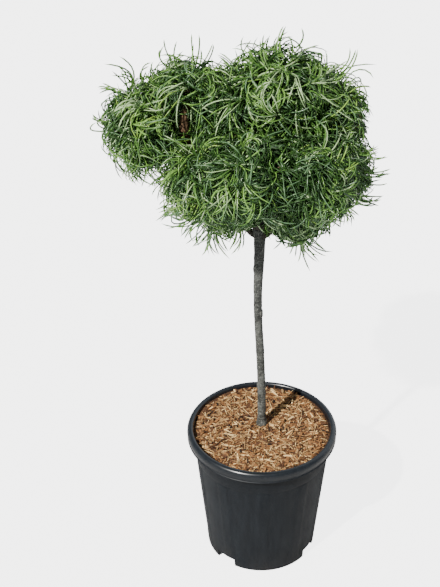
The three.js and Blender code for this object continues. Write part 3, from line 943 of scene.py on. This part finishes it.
# Greens of the needles: name, colour, its darker part, roughness, sheen, share of the bundles
TINTS = [
    ("deep_green", (0.036, 0.092, 0.019), (0.015, 0.044, 0.009), 0.36, 0.35, 0.14),
    ("pine_green", (0.12, 0.255, 0.048), (0.07, 0.165, 0.032), 0.28, 0.6, 0.38),
    ("fresh_green", (0.205, 0.39, 0.078), (0.138, 0.29, 0.055), 0.28, 0.6, 0.26),
    ("lime", (0.29, 0.47, 0.085), (0.21, 0.38, 0.06), 0.3, 0.5, 0.02),
    ("blue_green", (0.135, 0.245, 0.11), (0.08, 0.165, 0.075), 0.28, 0.65, 0.13),
    ("silver_green", (0.43, 0.58, 0.3), (0.3, 0.45, 0.195), 0.28, 0.7, 0.035),
    ("dry", (0.24, 0.14, 0.04), (0.13, 0.065, 0.022), 0.55, 0.4, 0.003),
]
DEEP, PINE, FRESH, LIME, BLUE, SILVER, DRY = range(len(TINTS))
# The tint of a needle's waxy inner side, the share that show it, and the darker tints deep inside,
# which are painted shade
PALE_SIDE, PALE_SHARE = np.array([BLUE, SILVER, SILVER, LIME, SILVER, SILVER, DRY]), 0.3
INNER_SHADE_TINT = np.array([DEEP, PINE, DEEP, PINE, DEEP, PINE, DEEP])
OWN_TINT = 0.3  # the share of needles that differ from their bundle
# painted shade: bundles further in are dealt the deep green more often
DEPTH_SHADE = Sizes(within=0.6, slope=1.6)  # bundles further in are rather deep green
# painted light: how often needles low down are dealt blue-green and silver
COOL = Sizes(top=800, fade=70, least=0.12, share=0.42, silver=0.5)
# Places where the newest growth is yellower: place, radius
NEW_GROWTH = [((-130, -60, 905), 42), ((-165, -60, 850), 40), ((-50, -100, 860), 30),
              ((112, -90, 800), 34), ((100, -60, 860), 32), ((60, -150, 775), 30),
              ((-20, -160, 780), 30), ((-88, -130, 770), 30)]
# Painted shade in hollows of the crown, where more bundles are deep green: place, radius, their
# share
PAINTED_SHADE_SPOTS = [((12, -100, 820), 62, 0.62), ((70, -90, 850), 40, 0.2), ((-45, -90, 810), 48, 0.46),
          ((-68, -60, 865), 46, 0.46)]


def dealt(bundle, seed, place):
    """The tint of each bundle, by share and by where it grows; some needles in it differ."""
    drawn = np.where(chance(seed, 20) < OWN_TINT, chance(seed, 11), chance(bundle, 11))
    tint = by_share(TINTS, drawn)
    for spot, radius in NEW_GROWTH:
        near = size_of(place - spot) < radius
        newest = np.where(chance(bundle, 14) < 0.25, LIME, FRESH)
        tint = np.where(near & (chance(bundle, 13) < 0.5), newest, tint)
    # painted light: cooler and greyer low down, as if lit by the sky and the floor from below
    low = ((COOL.top - place[:, 2]) / COOL.fade).clip(COOL.least, 1)
    cooler = np.where(chance(seed, 22) < COOL.silver, SILVER, BLUE)
    tint = np.where((chance(seed, 21) < COOL.share * low) & (tint != DRY), cooler, tint)
    # painted shade: the further in a bundle grows, the likelier it is deep green
    deep = chance(bundle, 18) < (DEPTH_SHADE.within - reach_share(place)).clip(0, 1) * DEPTH_SHADE.slope
    # painted shade in the listed hollows
    for spot, radius, share in PAINTED_SHADE_SPOTS:
        near = size_of((place - spot) * (1, 0.5, 1)) < radius
        deep |= near & (chance(bundle, 19) < share)
    return np.where(deep, DEEP, tint)


def needle_layer(grown, inner):
    """Corners, triangles and tints of a region's inner or outer needles."""
    layer = {key: value[grown["inner"] == inner] for key, value in grown.items()}
    corners, triangles, side = needle_mesh(layer, NEEDLE.inner_rows if inner else NEEDLE.rows)
    tint = dealt(layer["bundle"], layer["seed"], layer["place"])
    pale = chance(layer["seed"], 15) < PALE_SHARE
    # painted shade: needles deep inside take darker tints and no pale side
    if inner:
        tint, pale = INNER_SHADE_TINT[tint], pale & False
    tint, pale = (np.repeat(v, len(side) // len(v)) for v in (tint, pale))
    return corners, triangles, np.where((side == 0) & pale, PALE_SIDE[tint], tint)


def make_region(region, masses, greens, bark):
    twigs, shoots, grown = [], [], []
    for name in masses:
        index = list(MASSES).index(name)
        own_twigs, own_shoots = grow_shoots(name, index)
        twigs += own_twigs
        shoots += [line for line, _ in own_shoots]
        grown.append(fitted(grow_needles(own_shoots, index)))
    if region in TUFTS:
        grown.append(grow_tufts(region))
    grown = {key: np.concatenate([part[key] for part in grown]) for key in grown[0]}
    corners, triangles, tints = stacked(needle_layer(grown, inner) for inner in (False, True)
                                        if (grown["inner"] == inner).any())
    needles = joined_mesh("needles_" + region, corners, triangles, greens, tints)
    finished(needles, None, "needles", *["foliage_" + name for name in masses])
    corners, triangles = stacked(tubes(lines, kind.radius, kind.sides)
                                 for lines, kind in ((twigs, TWIG), (shoots, SHOOT)))
    wood = joined_mesh("twigs_" + region, corners, triangles, [bark], np.zeros(len(triangles)))
    finished(wood, None, "young_bark")


def make_foliage(bark):
    greens = [needle_finish(*row[:-1]) for row in TINTS]
    for region, masses in REGIONS.items():
        make_region(region, masses, greens, bark)


# ---- the mulch

def mulch_level(x, y):
    """The mulch lies a little higher round the edge, most of all at the back."""
    out = np.hypot(x, y) / inside_radius(MULCH.edge)
    rise = MULCH.rise * out ** 2 * np.clip(0.35 + 0.75 * y / 120, 0, 1)
    return mix(MULCH.top, MULCH.edge, out ** 3) + rise


def make_mulch():
    edge, under = inside_radius(MULCH.edge) + 0.6, MULCH.under
    top = [(r, MULCH.edge) for r in np.linspace(0, edge, 56)[::-1]]
    bed = spun("mulch_bed", [(0, under), (edge - 1.2, under), *top], 150)
    for vertex in bed.data.vertices:
        if vertex.co.z > (under + 4) * MM:
            vertex.co.z = float(mulch_level(vertex.co.x / MM, vertex.co.y / MM)) * MM
    relief(bed, 14, 3.4, "Z")
    relief(bed, 4, 2.2, "Z")
    smooth(bed)
    finished(bed, bed_finish(), "mulch", "bark_mulch")
    return bed


CHIP = Sizes(count=3700, fibres=0.66, long=((5, 18), (8, 28)), wide=((1.5, 4.6), (0.7, 1.7)),
             thick=(0.6, 1.9), tilt=0.42, lift=4.2, shapes=6, roughness=0.06, pale_slim=0.62,
             stem_gap=9.5)
CHIP_TINTS = [
    ("orange_bark", (0.4, 0.186, 0.066), (0.18, 0.078, 0.028), 0.34),
    ("tan_wood", (0.6, 0.37, 0.16), (0.33, 0.185, 0.074), 0.25),
    ("pale_wood", (1.0, 0.74, 0.37), (0.92, 0.6, 0.26), 0.15),
    ("brown_bark", (0.17, 0.078, 0.036), (0.065, 0.028, 0.013), 0.25),
    ("dark_bark", (0.04, 0.023, 0.013), (0.016, 0.009, 0.006), 0.1),
]
PALE_CHIP = 2


def chip_shapes():
    """A few splinters of bark, each one cube that is cut across, tapered and roughened."""
    shapes = []
    for i in range(CHIP.shapes):
        chip = fresh("cube", size=1)
        editing(chip)
        for x in (-0.17, 0.17):
            pick_all()
            bpy.ops.mesh.bisect(plane_co=(x, 0, 0), plane_no=(1, 0, 0))
        taper = 0.3 + 0.5 * draw(i, 31)
        for end, wide, thick in ((1, taper, 0.6), (-1, 1.2 - taper, 0.75)):
            pick(chip, lambda x, y, z: x * end > 400)
            resize(1, wide, thick)
        pick_all()
        bpy.ops.transform.vertex_random(offset=CHIP.roughness, seed=i + 3)
        bpy.ops.mesh.quads_convert_to_tris()
        rested()
        shapes.append((np.array([v.co for v in chip.data.vertices]),
                       np.array([p.vertices for p in chip.data.polygons])))
        bpy.data.objects.remove(chip)
    return shapes


def turn_from(a, b, angle):
    """The matrix of a turn from one axis to another."""
    turn = np.eye(3)
    turn[a, a] = turn[b, b] = math.cos(angle)
    turn[a, b], turn[b, a] = -math.sin(angle), math.sin(angle)
    return turn


def make_chips(bed):
    shapes = chip_shapes()
    edge = inside_radius(MULCH.edge) - 1
    chips = []
    for i in range(CHIP.count):
        fibre = int(chance(i, 10) < CHIP.fibres)
        tint = by_share(CHIP_TINTS, draw(i, 9))
        slim = CHIP.pale_slim if tint == PALE_CHIP else 1
        long = mix(*CHIP.long[fibre], draw(i, 1) ** 1.6) * (1.5 - 0.5 * slim)
        wide = mix(*CHIP.wide[fibre], draw(i, 2) ** 1.5) * slim
        thick = min(mix(*CHIP.thick, draw(i, 3)), wide)
        radius = (edge - 0.42 * long) * math.sqrt((i + 0.5) / CHIP.count)
        turn = i * GOLDEN_TURN + 0.8 * draw(i, 4)
        x, y = radius * math.cos(turn), radius * math.sin(turn)
        if math.dist((x, y), STEM[1][1:3]) < CHIP.stem_gap:
            continue
        hit, at, _, _ = bed.ray_cast(Vector((x, y, 300)) * MM, Vector((0, 0, -1)), distance=0.1)
        z = at[2] / MM if hit else MULCH.top
        shape, faces = shapes[i % len(shapes)]
        tilt = CHIP.tilt * (2 * chance(i, (5, 6)) - 1)
        corners = shape * (long, wide, thick)
        for turned in (turn_from(2, 0, tilt[0]), turn_from(1, 2, tilt[1]),
                       turn_from(0, 1, FULL_TURN * draw(i, 7))):
            corners = corners @ turned.T
        lift = 0.35 * thick + CHIP.lift * draw(i, 8) ** 2
        chips.append((corners + (x, y, z + lift), faces, np.full(len(faces), tint),
                      (shape[:, :2] * (long, wide) + 37 * i) * MM))
    finishes = [chip_finish(name, pale, dark) for name, pale, dark, _ in CHIP_TINTS]
    corners, triangles, tints, grain = stacked(chips)
    chips = joined_mesh("mulch_chips", corners, triangles, finishes, tints, grain)
    chips.data.shade_flat()
    finished(chips, None, "mulch")


# ---- the studio

# Lamps: name, the way to it, strength, width of its light, colour
LAMPS = (("sun_front_left", (-6.9, -8.7, 11.1), 6.6, 1.2, (1.0, 0.97, 0.92)),
         ("soft_fill_back_right", (6, 7, 3.4), 0.8, 80, (0.9, 0.95, 1.0)),
         ("floor_bounce", (-2, -7, -4), 2.5, 70, (0.9, 0.96, 1.0)))
SKY = {"Color": (0.82, 0.91, 1, 1), "Strength": 0.33}
FLOOR = Sizes(side=18, glow=4.1, tone=0.4)
WALL = Sizes(radius=8.5, glow=4.9, tone=0)
# The picture's height, its distance from the lens and its shift in its own points; the camera's
# place in metres and how many degrees it looks down
VIEW = Sizes(height=587, distance=1186, beside=-26, film=36, place=(-0.028, -1.636, 1.6),
             down=32.98)


def make_studio():
    """A pale floor and far round wall, daylight from all over and a sun at the front left."""
    floor = settle("studio_floor", fresh("plane", size=FLOOR.side))
    wall = fresh("uv_sphere", segments=48, ring_count=24, radius=WALL.radius)
    wall = settle("studio_wall", wall)
    wall.visible_diffuse = wall.visible_glossy = wall.visible_shadow = floor.visible_shadow = False
    # their glow falls on themselves alone, so the ground is pale and the pot stays dark
    glow = bpy.data.collections.new("studio_glow")
    for piece, name, pale in ((floor, "pale_floor", FLOOR), (wall, "pale_wall", WALL)):
        paint(piece, Finish(name, {
            "Base Color": (pale.tone, pale.tone, pale.tone, 1), "Roughness": 0.9,
            "Emission Color": (1, 1, 1, 1), "Emission Strength": pale.glow}).material)
        glow.objects.link(piece)
        piece.light_linking.receiver_collection = glow
    world = bpy.data.worlds.new("pale_studio")
    bpy.context.scene.world = world
    world.use_nodes = True
    for key, value in SKY.items():
        world.node_tree.nodes["Background"].inputs[key].default_value = value
    for name, way, energy, angle, colour in LAMPS:
        sun = bpy.data.lights.new(name, "SUN")
        sun.energy, sun.angle, sun.color = energy, angle * DEGREE, colour
        placed(name, sun).rotation_euler = Vector(way).to_track_quat("Z", "Y").to_euler()
    # what a pale floor gives back reaches the needles only
    needles = bpy.data.collections.new("lit_from_below")
    for piece in bpy.data.objects:
        if piece.name.startswith("needles_"):
            needles.objects.link(piece)
    bpy.data.objects["floor_bounce"].light_linking.receiver_collection = needles


def make_camera():
    lens = bpy.data.cameras.new("front_camera")
    lens.sensor_width = VIEW.film
    lens.lens = VIEW.distance / VIEW.height * VIEW.film
    lens.shift_x = VIEW.beside / VIEW.height
    camera = bpy.context.scene.camera = placed("front_camera", lens)
    camera.location = VIEW.place
    camera.rotation_euler = ((90 - VIEW.down) * DEGREE, 0, 0)


make_camera()
make_pot()
paint(frame["nodes"]["compost"], compost_finish())
make_stem()
SHOOT_BARK = shoot_finish("brown_shoot_bark", (0.08, 0.044, 0.022), (0.26, 0.155, 0.08))
TWIG_BARK = shoot_finish("dull_twig_bark", (0.06, 0.042, 0.024), (0.185, 0.135, 0.075))
make_boughs(SHOOT_BARK, TWIG_BARK)
make_foliage(TWIG_BARK)
make_chips(make_mulch())
make_studio()
